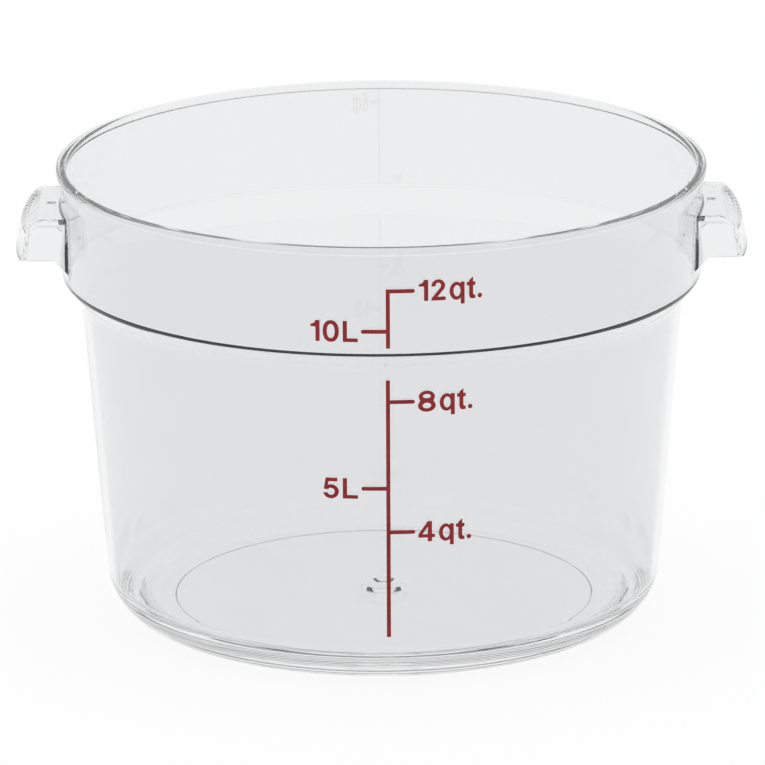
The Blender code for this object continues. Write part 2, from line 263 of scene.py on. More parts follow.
@dataclass(frozen=True)
class ClearPlastic:
    """Clear moulded plastic with a very slight haze and the faint ripple of a moulding."""

    tint: Colour = (0.86, 0.864, 0.872)
    tint_deep: Colour = (0.845, 0.849, 0.857)
    ior: float = 1.585
    roughness: float = 0.012
    haze: float = 0.05
    haze_span: tuple[float, float] = (0.45, 0.75)
    ripple: float = 0.02 * MM
    ripple_scale: float = 22.0
    ripple_detail: float = 2.0
    ripple_stretch: Place = (1.0, 1.0, 0.35)
    wear_scale: float = 260.0
    wear_detail: float = 4.0
    wear_roughness: float = 0.65

    def make(self) -> bpy.types.Material:
        """Build the material.

        Returns:
            The plastic, clear right through.
        """
        material, graph, shader = new_material("clear_plastic")
        place = graph.place()
        drawn = graph.stretch(place, self.ripple_stretch)
        flow = graph.noise(drawn, self.ripple_scale, self.ripple_detail)
        wear = graph.noise(place, self.wear_scale, self.wear_detail, self.wear_roughness)
        inputs = {
            "IOR": self.ior,
            "Transmission Weight": 1.0,
            "Roughness": graph.mapped(wear, self.haze_span, (self.roughness, self.haze)),
            "Base Color": graph.tinted(flow, self.tint, self.tint_deep),
            "Normal": graph.bump(flow, self.ripple),
        }
        graph.feed(shader, inputs)
        return material


@dataclass(frozen=True)
class PrintedInk:
    """Red screen-printed ink, slightly uneven, as a satin film."""

    colour: Colour = (0.225, 0.011, 0.014)
    colour_thin: Colour = (0.31, 0.024, 0.028)
    sheen: float = 0.25
    roughness: float = 0.42
    roughness_worn: float = 0.62
    rough_span: tuple[float, float] = (0.3, 0.7)
    grain: float = 900.0
    grain_detail: float = 3.0
    grain_roughness: float = 0.7
    grain_height: float = 0.01 * MM
    blotch: float = 100.0
    blotch_detail: float = 2.0
    blotch_share: float = 0.4
    thin_span: tuple[float, float] = (0.42, 0.68)

    def make(self) -> bpy.types.Material:
        """Build the material.

        Returns:
            The ink, thinner and lighter in small patches.
        """
        material, graph, shader = new_material("red_ink")
        place = graph.place()
        speckle = graph.noise(place, self.grain, self.grain_detail, self.grain_roughness)
        blotch = graph.noise(place, self.blotch, self.blotch_detail)
        uneven = speckle * (1 - self.blotch_share) + blotch * self.blotch_share
        thin = graph.mapped(uneven, self.thin_span, (0.0, 1.0))
        worn = (self.roughness, self.roughness_worn)
        inputs = {
            "Specular IOR Level": self.sheen,
            "Roughness": graph.mapped(speckle, self.rough_span, worn),
            "Base Color": graph.tinted(thin, self.colour, self.colour_thin),
            "Normal": graph.bump(speckle, self.grain_height),
        }
        graph.feed(shader, inputs)
        return material


def circle_points(centre: Point, radius: float, angles: Sequence[float]) -> Outline:
    """Points of a circle at some angles in radians."""
    return [(centre[0] + radius * math.cos(a), centre[1] + radius * math.sin(a)) for a in angles]


def line_at(low: Point, high: Point, z: float) -> float:
    """Radius at height z of the line through two (radius, z) points."""
    return low[0] + (high[0] - low[0]) * (z - low[1]) / (high[1] - low[1])


def offset_line(start: Point, end: Point, distance: float) -> tuple[np.ndarray, np.ndarray]:
    """Move a line to its left.

    Args:
        start: One point of the line.
        end: Another point.
        distance: How far to move it.

    Returns:
        The two moved points.
    """
    first, last = np.array(start), np.array(end)
    along = (last - first) / np.linalg.norm(last - first)
    left = np.array([-along[1], along[0]])
    return first + distance * left, last + distance * left


def arc_spacing(radius: float) -> float:
    """Angle in degrees between the points of a fillet: finer where thick plastic magnifies facets."""
    return next(spacing for least, spacing in ARC_SPACINGS if radius > least)


def fillet(before: Point, corner: Point, after: Point, radius: float) -> Outline:
    """Round one corner of an outline.

    Args:
        before: The outline's corner before it.
        corner: The corner to round.
        after: The corner after it.
        radius: The fillet's radius.

    Returns:
        Points of an arc that touches both sides.
    """
    start, middle, end = Vector(before), Vector(corner), Vector(after)
    back = (start - middle).normalized()
    ahead = (end - middle).normalized()
    half = back.angle(ahead) / 2
    centre = middle + (back + ahead).normalized() * (radius / math.sin(half))
    reach = radius / math.tan(half)
    first = middle + back * reach - centre
    last = middle + ahead * reach - centre
    turn = first.angle_signed(last)
    steps = max(LEAST_ARC_STEPS, math.ceil(abs(turn) / math.radians(arc_spacing(radius))))
    return [
        tuple(centre + Matrix.Rotation(-turn * step / steps, 2) @ first)
        for step in range(steps + 1)
    ]


def rounded(corners: Sequence[Corner], is_loop: bool = False) -> Outline:
    """Round the corners of an outline.

    Args:
        corners: Each corner with its fillet's radius. One with no radius stays sharp.
        is_loop: Whether the last corner joins the first.

    Returns:
        The outline's points in order.
    """
    points: Outline = []
    count = len(corners)
    for index, (corner, radius) in enumerate(corners):
        is_end = index in (0, count - 1) and not is_loop
        if not radius or is_end:
            points.append(tuple(corner))
            continue
        before, after = corners[index - 1][0], corners[(index + 1) % count][0]
        points.extend(fillet(before, corner, after, radius))
    return points


def braced(points: Sequence[Point], edge: float) -> Outline:
    """Add a point just inside both ends of each long straight run, so that shading stays flat there.

    Args:
        points: The open outline.
        edge: How far inside its ends the points go.

    Returns:
        The outline with the points added.
    """
    result: Outline = []
    for start, end in zip(points, points[1:]):
        result.append(start)
        run = math.dist(start, end)
        if run > LONG_RUN * edge:
            share = edge / run
            for part in (share, 1 - share):
                result.append(tuple(a + part * (b - a) for a, b in zip(start, end)))
    return [*result, points[-1]]


def turned_mesh(name: str, outline: Sequence[Point], steps: int, is_loop: bool) -> bpy.types.Object:
    """Turn an outline of (radius, z) points round the Z axis.

    Args:
        name: The object's name.
        outline: The points in order. One with no radius is on the axis.
        steps: Steps in the full turn.
        is_loop: Whether the outline closes on itself, clear of the axis.

    Returns:
        The closed object, linked into the scene.
    """
    shape = bmesh.new()
    rings: list[list[bmesh.types.BMVert]] = []
    for radius, z in outline:
        if radius < TINY:
            rings.append([shape.verts.new((0.0, 0.0, z))] * steps)
            continue
        angles = [2 * math.pi * step / steps for step in range(steps)]
        rings.append(
            [shape.verts.new((radius * math.cos(a), radius * math.sin(a), z)) for a in angles]
        )
    if is_loop:
        rings.append(rings[0])
    for ring, following in zip(rings, rings[1:]):
        for step in range(steps):
            after = (step + 1) % steps
            corners = [ring[step], following[step], following[after], ring[after]]
            unique = list(dict.fromkeys(corners))
            shape.faces.new(unique)
    bmesh.ops.recalc_face_normals(shape, faces=shape.faces)
    return linked(name, shape)


def lofted_mesh(name: str, loops: Sequence[Sequence[Place]]) -> bpy.types.Object:
    """Close a solid over stacked loops of points.

    Args:
        name: The object's name.
        loops: Loops with as many points each, the lowest first.

    Returns:
        The closed object, linked into the scene.
    """
    shape = bmesh.new()
    rows = [[shape.verts.new(point) for point in loop] for loop in loops]
    count = len(rows[0])
    shape.faces.new(list(reversed(rows[0])))
    shape.faces.new(rows[-1])
    for low, high in zip(rows, rows[1:]):
        for side in range(count):
            after = (side + 1) % count
            shape.faces.new([low[side], low[after], high[after], high[side]])
    return linked(name, shape)


def linked(name: str, shape: bmesh.types.BMesh) -> bpy.types.Object:
    """Make an object of a bmesh and link it into the scene.

    Args:
        name: Name of the object and its mesh.
        shape: The mesh under construction, freed here.

    Returns:
        The object.
    """
    mesh = bpy.data.meshes.new(name)
    shape.to_mesh(mesh)
    shape.free()
    return placed(name, mesh)


def placed(name: str, data: bpy.types.ID) -> bpy.types.Object:
    """Make an object of its data and link it into the scene.

    Args:
        name: The object's name.
        data: Its mesh, camera or light.

    Returns:
        The object.
    """
    obj = bpy.data.objects.new(name, data)
    bpy.context.scene.collection.objects.link(obj)
    return obj


def boolean(obj: bpy.types.Object, other: bpy.types.Object, operation: str) -> None:
    """Apply one Boolean and delete its other operand.

    Args:
        obj: The object that is changed.
        other: The object that it is joined with, cut by or cut to.
        operation: UNION, DIFFERENCE or INTERSECT.
    """
    modifier = obj.modifiers.new(operation.lower(), "BOOLEAN")
    modifier.operation = operation
    modifier.solver = "MANIFOLD"
    modifier.object = other
    settle(obj)
    bpy.data.objects.remove(other, do_unlink=True)


def settle(obj: bpy.types.Object) -> None:
    """Swap an object's modifiers for the mesh that they make.

    Args:
        obj: The object, left with a plain mesh.
    """
    graph = bpy.context.evaluated_depsgraph_get()
    mesh = bpy.data.meshes.new_from_object(obj.evaluated_get(graph))
    old = obj.data
    obj.modifiers.clear()
    obj.data = mesh
    mesh.name = obj.name
    bpy.data.meshes.remove(old)


def smooth(obj: bpy.types.Object, angle: float) -> None:
    """Shade an object smooth.

    Args:
        obj: The object.
        angle: Edges sharper than this many degrees stay sharp.
    """
    mesh = obj.data
    mesh.polygons.foreach_set("use_smooth", [True] * len(mesh.polygons))
    mesh.set_sharp_from_angle(angle=math.radians(angle))


@dataclass
class Tub:
    """The turned tub: thick flat floor, tapered wall, shoulder, collar and beaded rim."""

    height: float
    rim_radius: float
    bead_height: float = 3.8 * MM
    bead_reach: float = 1.9 * MM
    collar_height: float = 52.8 * MM
    collar_spread: float = 0.7 * MM
    shoulder_drop: float = 10.4 * MM
    shoulder_step: float = 8.8 * MM
    body_spread: float = 12.9 * MM
    wall: float = 3.1 * MM
    floor_top: float = 10.4 * MM
    floor_inset: float = 12.8 * MM
    corner_rise: float = 6.1 * MM
    recess_inset: float = 30.3 * MM
    recess_depth: float = 0.8 * MM
    recess_draft: float = 0.6 * MM
    ledge_rise: float = 1.1 * MM
    ledge_drop: float = 10.3 * MM
    ledge_root_fillet: float = 1.0 * MM
    ledge_edge_fillet: float = 17.0 * MM
    floor_fillet: float = 1.0 * MM
    corner_fillet: float = 12.0 * MM
    rim_inner_fillet: float = 2.0 * MM
    rim_outer_fillet: float = 1.2 * MM
    bead_fillet: float = 0.9 * MM
    bead_root_fillet: float = 0.6 * MM
    shoulder_fillet: float = 3.2 * MM
    neck_fillet: float = 14.0 * MM
    base_fillet: float = 26.0 * MM
    recess_fillet: float = 0.3 * MM
    brace_distance: float = 0.4 * MM
    button_radius: float = 11.6 * MM
    button_crest: float = 9.2 * MM
    button_flat: float = 5.6 * MM
    button_rise: float = 2.3 * MM
    button_flat_fillet: float = 1.5 * MM
    button_crest_fillet: float = 1.2 * MM
    button_foot_fillet: float = 0.5 * MM
    steps: int = 256
    corners: dict[str, Point] = field(init=False)

    def __post_init__(self) -> None:
        """Work out the straight-line corners of the outside."""
        collar_top = self.rim_radius - self.bead_reach
        collar_foot = collar_top - self.collar_spread
        body_top = collar_foot - self.shoulder_step
        shoulder_top = self.height - self.collar_height
        self.corners = {
            "base": (body_top - self.body_spread, 0.0),
            "shoulder_foot": (body_top, shoulder_top - self.shoulder_drop),
            "shoulder_top": (collar_foot, shoulder_top),
            "collar_top": (collar_top, self.height - self.bead_height),
        }

    def collar_radius(self, z: float) -> float:
        """Outside radius of the collar at height z."""
        return line_at(self.corners["shoulder_top"], self.corners["collar_top"], z)

    def body_radius(self, z: float) -> float:
        """Outside radius of the body wall at height z."""
        return line_at(self.corners["base"], self.corners["shoulder_foot"], z)

    def button(self) -> list[Corner]:
        """Outline the button at the floor's middle.

        Returns:
            Corners of a flat centre inside a low round ridge.
        """
        crest = self.floor_top + self.button_rise
        return [
            ((0.0, self.floor_top), 0.0),
            ((self.button_flat, self.floor_top), self.button_flat_fillet),
            ((self.button_crest, crest), self.button_crest_fillet),
            ((self.button_radius, self.floor_top), self.button_foot_fillet),
        ]

    def inside(self) -> list[Corner]:
        """Outline the inside.

        Returns:
            Corners from the floor's centre up to the rim.
        """
        base, low = self.corners["base"], self.corners["shoulder_foot"]
        high, top = self.corners["shoulder_top"], self.corners["collar_top"]
        wall = offset_line(base, low, self.wall)
        collar = offset_line(high, top, self.wall)
        corner_z = self.floor_top + self.corner_rise
        root_z = high[1] + self.ledge_rise
        edge_z = root_z - self.ledge_drop
        return self.button() + [
            ((base[0] - self.floor_inset, self.floor_top), self.floor_fillet),
            ((line_at(*wall, corner_z), corner_z), self.corner_fillet),
            ((line_at(*wall, edge_z), edge_z), self.ledge_edge_fillet),
            ((line_at(*collar, root_z), root_z), self.ledge_root_fillet),
            ((line_at(*collar, self.height), self.height), self.rim_inner_fillet),
        ]

    def outside(self) -> list[Corner]:
        """Outline the outside.

        Returns:
            Corners from the rim down and in under the floor.
        """
        recess = self.corners["base"][0] - self.recess_inset
        return [
            ((self.rim_radius, self.height), self.rim_outer_fillet),
            ((self.rim_radius, self.height - self.bead_height), self.bead_fillet),
            (self.corners["collar_top"], self.bead_root_fillet),
            (self.corners["shoulder_top"], self.shoulder_fillet),
            (self.corners["shoulder_foot"], self.neck_fillet),
            (self.corners["base"], self.base_fillet),
            ((recess, 0.0), self.recess_fillet),
            ((recess - self.recess_draft, self.recess_depth), self.recess_fillet),
            ((0.0, self.recess_depth), 0.0),
        ]

    def build(self, name: str) -> bpy.types.Object:
        """Turn the tub in one piece."""
        outline = braced(rounded(self.inside() + self.outside()), self.brace_distance)
        return turned_mesh(name, outline, self.steps, False)


@dataclass
class HandleHood:
    """A handle: a plate turned down at its end, with flared webs that grow out of the collar."""

    side: Side
    tub: Tub
    drop: float = 19.2 * MM
    depth: float = 20.1 * MM
    gusset_drop: float = 6.5 * MM
    reach: float = 22.1 * MM
    gusset_reach: float = 6.5 * MM
    draft: float = 4.0 * MM
    half_width: float = 32.0 * MM
    corner: float = 4.0 * MM
    top_fillet: float = 8.8 * MM
    root_fillet: float = 1.2 * MM
    root_fillet_share: float = 0.9
    root_overlap: float = 0.05 * MM
    hollow_fillet: float = 1.2 * MM
    thickness: float = 2.7 * MM
    flare_low: float = 5.0 * MM
    flare_top: float = 1.2 * MM
    flare_drop: float = 16.6 * MM
    flare_turn: float = 0.6
    flare_power: float = 1.15
    side_fillet: float = 1.2 * MM
    dimple_reach: float = 5.0 * MM
    dimple_ball: float = 5.5 * MM
    dimple_depth: float = 0.6 * MM
    sunk: float = 1.5 * MM
    seat_overlap: float = 0.1 * MM
    clearance: float = 0.3 * MM
    margin: float = 12.0 * MM
    face_points: int = 40
    corner_points: int = 14
    flare_points: int = 12
    web_levels: int = 10
    edge_levels: int = 9
    ball_points: int = 25
    ball_steps: int = 48

    @property
    def top(self) -> float:
        """Height of the plate's top face."""
        return self.tub.height - self.drop

    @property
    def lip(self) -> float:
        """Height of the lip's lower edge."""
        return self.top - self.depth

    @property
    def outer(self) -> float:
        """Radius of the lip's outer face at its lower edge."""
        return self.tub.corners["shoulder_top"][0] + self.reach

    def shell(self) -> Outline:
        """Outline the outside of the hood in cross-section.

        Returns:
            Points from the collar out over the plate, down the lip and back below the web.
        """
        root_low = self.lip - self.gusset_drop
        root_high = self.top + self.root_fillet
        wall_top = self.tub.collar_radius(self.top)
        wall_low = self.tub.collar_radius(root_low)
        gusset = self.tub.corners["shoulder_top"][0] + self.gusset_reach
        corners: list[Corner] = [
            ((wall_top - self.sunk, root_high), 0.0),
            ((wall_top - self.root_overlap, root_high), 0.0),
            ((wall_top, self.top), self.root_fillet * self.root_fillet_share),
            ((self.outer - self.draft, self.top), self.top_fillet),
            ((self.outer, self.lip), 0.0),
            ((gusset, self.lip), 0.0),
            ((wall_low, root_low), 0.0),
            ((wall_low - self.sunk, root_low), 0.0),
        ]
        return rounded(corners, True)

    def hollow(self) -> Outline:
        """Outline the finger space in cross-section.

        Returns:
            Points from the collar's face out under the plate and down past the lip.
        """
        top = self.top - self.thickness
        low = self.lip - self.gusset_drop - self.margin
        shoulder = self.outer - self.draft - self.thickness
        slope = self.draft / self.depth
        corners: list[Corner] = [
            ((self.tub.collar_radius(top), top), self.hollow_fillet),
            ((shoulder, top), self.top_fillet - self.thickness),
            ((shoulder + slope * (top - low), low), 0.0),
            ((self.tub.collar_radius(low), low), 0.0),
        ]
        return rounded(corners, True)

    def plan_half(self, half_width: float, corner: float, outer: float, flare: float) -> Outline:
        """Half of an outline in plan, from the outer middle round to the root.

        Args:
            half_width: Half of the width along the collar.
            corner: Radius of the outer corner.
            outer: Radius of the outer face about the tub's axis.
            flare: Radius of the fillet into the collar, or 0 for none.

        Returns:
            The points, for a handle on +X.
        """
        span = outer - corner
        centre = (math.sqrt(span**2 - (half_width - corner) ** 2), half_width - corner)
        touch = math.atan2(centre[1], centre[0])
        points = circle_points((0.0, 0.0), outer, np.linspace(0, touch, self.face_points)[:-1])
        angles = np.linspace(touch, math.pi / 2, self.corner_points)
        points += circle_points(centre, corner, angles)
        seat = self.tub.corners["shoulder_top"][0] - self.seat_overlap
        run = 2 * self.margin
        if not flare:
            return [*points, (seat - run, points[-1][1])]
        reach = seat + flare
        middle = (math.sqrt(reach**2 - (half_width + flare) ** 2), half_width + flare)
        start = 1.5 * math.pi
        whole = math.pi + math.atan2(middle[1], middle[0]) - start
        angles = np.linspace(start, start + whole * self.flare_turn, self.flare_points)
        points += circle_points(middle, flare, angles)
        slope = math.tan(angles[0] - angles[-1])
        return [*points, (points[-1][0] - run, points[-1][1] + run * slope)]

    def flare_at(self, z: float) -> float:
        """Radius of the web's fillet into the collar: small at the plate, full from low down."""
        share = min(max((self.top - z) / self.flare_drop, 0.0), 1.0)
        return self.flare_top + (self.flare_low - self.flare_top) * share**self.flare_power

    def edge_step(self, angle: float) -> tuple[float, float]:
        """Height and inset of one step round the fillet between the plate and its side web."""
        height = self.top - self.side_fillet * (1 - math.sin(angle))
        return height, self.side_fillet * (1 - math.cos(angle))

    def dimple(self, name: str) -> bpy.types.Object:
        """Make the ball that presses the small mark into the plate.

        Args:
            name: The object's name.

        Returns:
            The ball, in its place.
        """
        angles = np.linspace(0.0, math.pi, self.ball_points)
        outline = [(self.dimple_ball * math.sin(a), -self.dimple_ball * math.cos(a)) for a in angles]
        ball = turned_mesh(name, outline, self.ball_steps, False)
        reach = self.tub.corners["shoulder_top"][0] + self.dimple_reach
        shift = (self.side.value * reach, 0.0, self.top + self.dimple_ball - self.dimple_depth)
        ball.data.transform(Matrix.Translation(shift))
        return ball

    def plan(
        self, z: float, half_width: float, corner: float, outer: float, flare: float
    ) -> list[Place]:
        """The whole outline in plan at one height.

        Args:
            z: The height.
            half_width: Half of the width along the collar.
            corner: Radius of the outer corner.
            outer: Radius of the outer face about the tub's axis.
            flare: Radius of the fillet into the collar, or 0 for none.

        Returns:
            The points, on the handle's own side.
        """
        half = self.plan_half(half_width, corner, outer, flare)
        loop = [(x, -y) for x, y in reversed(half[1:])] + half
        turn = self.side.value
        return [(turn * x, turn * y, z) for x, y in loop]

    def build(self, name: str, steps: int) -> bpy.types.Object:
        """Cut the hood from turned rings, rounded along its edges.

        Args:
            name: The object's name.
            steps: Steps of the rings in the full turn.

        Returns:
            The hood, sunk a little into the collar.
        """
        low = self.lip - self.gusset_drop - 2 * self.margin
        high = self.top + self.margin
        outer = self.outer + self.clearance
        hood = turned_mesh(name, self.shell(), steps, True)
        edge = self.top - self.side_fillet
        heights = np.linspace(self.top - self.flare_drop, edge, self.web_levels)
        levels = [(z, 0.0) for z in (low, *heights)]
        turns = np.linspace(0.0, math.pi / 2, self.edge_levels)[1:]
        levels += [self.edge_step(angle) for angle in turns]
        levels.append((high, self.side_fillet))
        loops = [
            self.plan(z, self.half_width - inset, self.corner, outer, self.flare_at(z))
            for z, inset in levels
        ]
        plan = lofted_mesh(name + "_plan", loops)
        inner = [size - self.thickness for size in (self.half_width, self.corner, outer)]
        space = turned_mesh(name + "_space", self.hollow(), steps, True)
        loops = [self.plan(z, *inner, 0.0) for z in (low, high)]
        boolean(space, lofted_mesh(name + "_space_plan", loops), "INTERSECT")
        boolean(hood, plan, "INTERSECT")
        boolean(hood, space, "DIFFERENCE")
        boolean(hood, self.dimple(name + "_dimple"), "DIFFERENCE")
        return hood


@dataclass
class ClearMoulding:
    """The tub and its two handles, fused as they are on the real object."""

    tub: Tub
    finish: bpy.types.Material
    hood_fineness: int = 3
    sharp_angle: float = 32.0

    def build(self) -> bpy.types.Object:
        """Fuse the moulding and dress it.

        Returns:
            The moulding, in place of the three clear solids of the CAD model.
        """
        moulding = self.tub.build("clear_moulding")
        steps = self.hood_fineness * self.tub.steps
        for side in Side:
            hood = HandleHood(side, self.tub).build(f"hood_{side.name.lower()}", steps)
            boolean(moulding, hood, "UNION")
        smooth(moulding, self.sharp_angle)
        even = moulding.modifiers.new("even_shading", "WEIGHTED_NORMAL")
        even.keep_sharp = True
        settle(moulding)
        moulding.data.materials.clear()
        moulding.data.materials.append(self.finish)
        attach(moulding, "root")
        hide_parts("container_body", "handle_left", "handle_right")
        return moulding


@dataclass(frozen=True)
class Lettering:
    """Bold plain figures and unit letters, drawn as outlines in units of their own height.

    The method of a character gives its outer outline, then the outlines of its holes.
    """

    stem: float = 0.205
    bar: float = 0.175
    softness: float = 0.028
    digit_gap: float = 0.15
    unit_gap: float = 0.19
    letter_gap: float = 0.11
    arc_step: float = 10.0
    least_arc_steps: int = 6
    bowl_steps: int = 36
    bend: float = math.radians(25)
    bend_shares: tuple[float, ...] = (0.0, 0.35, 0.65, 1.0)

    def arc(
        self, centre: Point, radii: Point, start: float, end: float, power: float = 1.0
    ) -> Outline:
        """Part of an ellipse.

        Args:
            centre: Its centre.
            radii: Its radii across and up.
            start: First angle in degrees, anticlockwise from the right.
            end: Last angle.
            power: Below 1 for a squarer shape.

        Returns:
            The points in order.
        """
        steps = max(self.least_arc_steps, round(abs(end - start) / self.arc_step))
        points = []
        for angle in np.radians(np.linspace(start, end, steps + 1)):
            across, up = math.cos(angle), math.sin(angle)
            points.append((
                centre[0] + radii[0] * math.copysign(abs(across) ** power, across),
                centre[1] + radii[1] * math.copysign(abs(up) ** power, up),
            ))
        return points

    def ring(self, centre: Point, radii: Point, power: float = 1.0) -> Outline:
        """A whole ellipse."""
        return self.arc(centre, radii, 0.0, 360.0, power)[:-1]

    def one(self) -> list[Outline]:
        """The figure 1, with a flag.

        Returns:
            Its outline.
        """
        right, left = 0.46, 0.46 - self.stem
        flag = [(0.0, 0.69), (0.0, 0.80), (0.11, 0.825), (0.20, 0.88), (0.26, 1.0)]
        return [[(right, 1.0), (right, 0.0), (left, 0.0), (left, 0.69), *flag]]

    def two(self) -> list[Outline]:
        """The figure 2.

        Returns:
            Its outline.
        """
        outer = self.arc((0.34, 0.70), (0.335, 0.30), 188.0, -30.0)
        inner = self.arc((0.34, 0.70), (0.13, 0.14), -42.0, 188.0)
        foot = [(0.30, self.bar), (0.70, self.bar), (0.70, 0.0), (0.0, 0.0), (0.0, 0.10)]
        return [outer + foot + inner]

    def four(self) -> list[Outline]:
        """The figure 4.

        Returns:
            Its outline and that of its hole.
        """
        left, right, low, high = 0.46, 0.67, 0.20, 0.36
        outer = [(right, 1.0), (right, high), (0.82, high), (0.82, low), (right, low), (right, 0.0)]
        outer += [(left, 0.0), (left, low), (0.0, low), (0.0, high), (left, 1.0)]
        return [outer, [(left, high), (0.20, high), (left, 0.72)]]

    def five(self) -> list[Outline]:
        """The figure 5.

        Returns:
            Its outline.
        """
        centre, top = (0.385, 0.33), 1.0 - self.bar
        inner = self.arc(centre, (0.18, 0.17), 150.0, -160.0)
        outer = self.arc(centre, (0.385, 0.345), -170.0, 113.0)
        start = [(0.70, top), (0.70, 1.0), (0.13, 1.0), (0.035, 0.44), (0.21, 0.43)]
        return [start + inner + outer + [(0.27, top)]]

    def eight(self) -> list[Outline]:
        """The figure 8: two bowls with a slight waist.

        Returns:
            Its outline and those of its holes.
        """
        centre, blend, reach = 0.43, 4.0, 0.515
        bowls = [(0.39, 0.295, 0.72), (0.43, 0.30, 0.285)]
        right: Outline = []
        for angle in np.linspace(0.0, math.pi, self.bowl_steps + 1):
            up = 0.5 + reach * math.cos(angle)
            halves = [a * math.sqrt(max(0.0, 1.0 - ((up - y) / b) ** 2)) for a, b, y in bowls]
            right.append((sum(half**blend for half in halves) ** (1 / blend), up))
        outer = [(centre + x, y) for x, y in right] + [(centre - x, y) for x, y in right[-2:0:-1]]
        upper = self.ring((centre, 0.745), (0.19, 0.105))
        return [outer, upper, self.ring((centre, 0.285), (0.205, 0.135))]

    def zero(self) -> list[Outline]:
        """The figure 0."""
        centre = (0.395, 0.5)
        return [self.ring(centre, (0.395, 0.515), 0.9), self.ring(centre, (0.19, 0.335), 0.9)]

    def ell(self) -> list[Outline]:
        """The capital L."""
        foot = [(0.0, 0.0), (0.73, 0.0), (0.73, self.bar), (self.stem, self.bar)]
        return [[(0.0, 1.0), *foot, (self.stem, 1.0)]]

    def cue(self) -> list[Outline]:
        """The small q.

        Returns:
            Its outline and that of its hole.
        """
        left, right, top, low = 0.545, 0.74, 0.82, -0.22
        centre, radii = (0.34, 0.405), (0.34, 0.425)
        meet = math.degrees(math.acos((left - centre[0]) / radii[0]))
        bowl = self.arc(centre, radii, 360.0 - meet, meet)
        outer = [(left, top), (right, top), (right, low), (left, low), *bowl]
        return [outer, self.ring((0.365, 0.405), (0.17, 0.265))]

    def tee(self) -> list[Outline]:
        """The small t, cut at a slant on top.

        Returns:
            Its outline.
        """
        left, right, low, high, end = 0.115, 0.315, 0.62, 0.79, 0.43
        top = [(left, high), (left, 0.86), (right, 1.03), (right, high), (end, high), (end, low)]
        foot = [(right, low), (right, 0.21), (0.345, 0.165), (end, 0.155), (end, 0.0)]
        heel = [(0.27, -0.015), (0.16, 0.03), (left, 0.15), (left, low), (0.0, low), (0.0, high)]
        return [top + foot + heel]

    def dot(self) -> list[Outline]:
        """The full stop."""
        return [self.ring((0.112, 0.115), (0.112, 0.112))]

    def character(self, letter: str) -> list[Outline]:
        """Draw one character.

        Args:
            letter: A figure or a unit's letter.

        Returns:
            Its outlines.
        """
        makers = {
            "0": self.zero, "1": self.one, "2": self.two, "4": self.four, "5": self.five,
            "8": self.eight, "L": self.ell, "q": self.cue, "t": self.tee, ".": self.dot,
        }
        return makers[letter]()

    def soften(self, outline: Sequence[Point]) -> Outline:
        """Round the sharp corners of an outline a little, as ink does.

        Args:
            outline: The closed outline.

        Returns:
            The outline with a short curve at each sharp corner.
        """
        points: Outline = []
        count = len(outline)
        for index, corner in enumerate(outline):
            before, here, after = (Vector(outline[(index + step) % count]) for step in (-1, 0, 1))
            back, ahead = before - here, after - here
            if abs(back.angle(ahead) - math.pi) <= self.bend:
                points.append(tuple(corner))
                continue
            start = here + back.normalized() * min(self.softness, back.length / 3)
            end = here + ahead.normalized() * min(self.softness, ahead.length / 3)
            for share in self.bend_shares:
                points.append(tuple(start.lerp(here, share).lerp(here.lerp(end, share), share)))
        return points

    def gap(self, before: str, after: str) -> float:
        """Space between two characters of a row."""
        after_digit = self.digit_gap if after.isdigit() else self.unit_gap
        return after_digit if before.isdigit() else self.letter_gap

    def row(self, text: str) -> tuple[Outline, list[Triangle]]:
        """Set a row of characters.

        Args:
            text: The characters.

        Returns:
            The points of all of them, from 0 rightward and up from the baseline, and the
            triangles that fill them.
        """
        points: Outline = []
        triangles: list[Triangle] = []
        start = 0.0
        for index, letter in enumerate(text):
            if index:
                start += self.gap(text[index - 1], letter)
            loops = [
                [(x + start, y) for x, y in self.soften(loop)] for loop in self.character(letter)
            ]
            base = len(points)
            filled = tessellate_polygon([[(x, y, 0.0) for x, y in loop] for loop in loops])
            triangles.extend(tuple(base + corner for corner in face) for face in filled)
            points.extend(point for loop in loops for point in loop)
            start = max(x for x, _ in loops[0])
        return points, triangles


@dataclass
class Mark:
    """One graduation: its tick and its label."""

    number: int
    unit: Unit
    z: float
    label_start: float
    label_width: float

    @property
    def name(self) -> str:
        """Plain name of the label's object."""
        return f"label_{self.number}_{self.unit.name.lower()}"


@dataclass
class InkLine:
    """A stretch of the printed line with its ticks, wrapped on the wall."""

    name: str
    node: str
    foot: float
    top: float
    marks: list[Mark]
    radius_at: Callable[[float], float]


